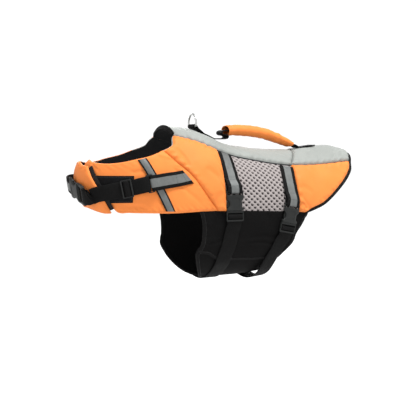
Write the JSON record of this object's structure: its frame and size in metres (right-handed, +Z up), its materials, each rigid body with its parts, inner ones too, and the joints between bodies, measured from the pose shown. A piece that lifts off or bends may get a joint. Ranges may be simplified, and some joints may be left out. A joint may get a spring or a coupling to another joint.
{
  "type": "dog life jacket",
  "caption": "Dog life jacket in its worn shape: padded back and chest, belly flaps, buckled webbing straps, top handle and lead ring.",
  "frame": {"origin": "on the inner face of the back panel at mid-back, where the wearer's back carries the jacket", "axes": "-X towards the wearer's head, +X towards the tail, -Y the wearer's left side with the buckles, +Z up"},
  "size_m": [0.6114, 0.2286, 0.3301],
  "materials": {
    "orange_ripstop": "matt coated ripstop over foam",
    "grey_oxford": "light grey coated polyester over foam",
    "grey_mesh": "spacer mesh, light strands over dark holes",
    "black_neoprene": "black laminated neoprene, matt",
    "black_binding": "black grosgrain binding",
    "black_webbing": "black polypropylene webbing with a reflective stripe",
    "reflective_tape": "grey retroreflective tape",
    "hook_and_loop": "black hook-and-loop tape",
    "black_plastic": "moulded acetal, satin",
    "bright_steel": "plated steel wire"
  },
  "bodies": {
    "jacket": {"back_panel_front": "grey_oxford", "back_panel_rear": "grey_oxford", "shoulder_panel_L": "orange_ripstop", "shoulder_panel_R": "orange_ripstop", "chest_panel_L": "orange_ripstop", "chest_panel_R": "orange_ripstop", "rear_panel_L": "orange_ripstop", "rear_panel_R": "orange_ripstop", "mesh_panel_L": "grey_mesh", "mesh_panel_R": "grey_mesh", "belly_panel_L": "black_neoprene", "belly_panel_R": "black_neoprene", "neck_binding": "black_binding", "tail_binding": "black_binding", "chest_tape_L": "reflective_tape", "chest_tape_R": "reflective_tape", "loop_patch": "hook_and_loop", "hook_strip": "hook_and_loop", "chest_strap_L": "black_webbing", "chest_strap_R": "black_webbing", "chest_webbing": "black_webbing", "chest_ring": "black_plastic", "chest_slider": "black_plastic", "chest_buckle_plug": "black_plastic", "chest_buckle_socket": "black_plastic", "girth_strap_front_L": "black_webbing", "girth_strap_front_R": "black_webbing", "girth_strap_rear_L": "black_webbing", "girth_strap_rear_R": "black_webbing", "girth_buckle_front_plug": "black_plastic", "girth_buckle_front_socket": "black_plastic", "girth_buckle_rear_plug": "black_plastic", "girth_buckle_rear_socket": "black_plastic", "belly_webbing_front": "black_webbing", "belly_webbing_rear": "black_webbing", "ring_tab": "black_webbing", "handle_sleeve": "orange_ripstop", "handle_webbing": "black_webbing"},
    "lead_ring": {"lead_ring": "bright_steel"}
  },
  "joints": [
    {"name": "lead_ring_swing", "type": "hinge", "parent": "jacket", "child": "lead_ring", "pos_m": [-0.13, 0, 0.0505], "axis": [0, 1, 0], "range_deg": [-82, 112]}
  ]
}
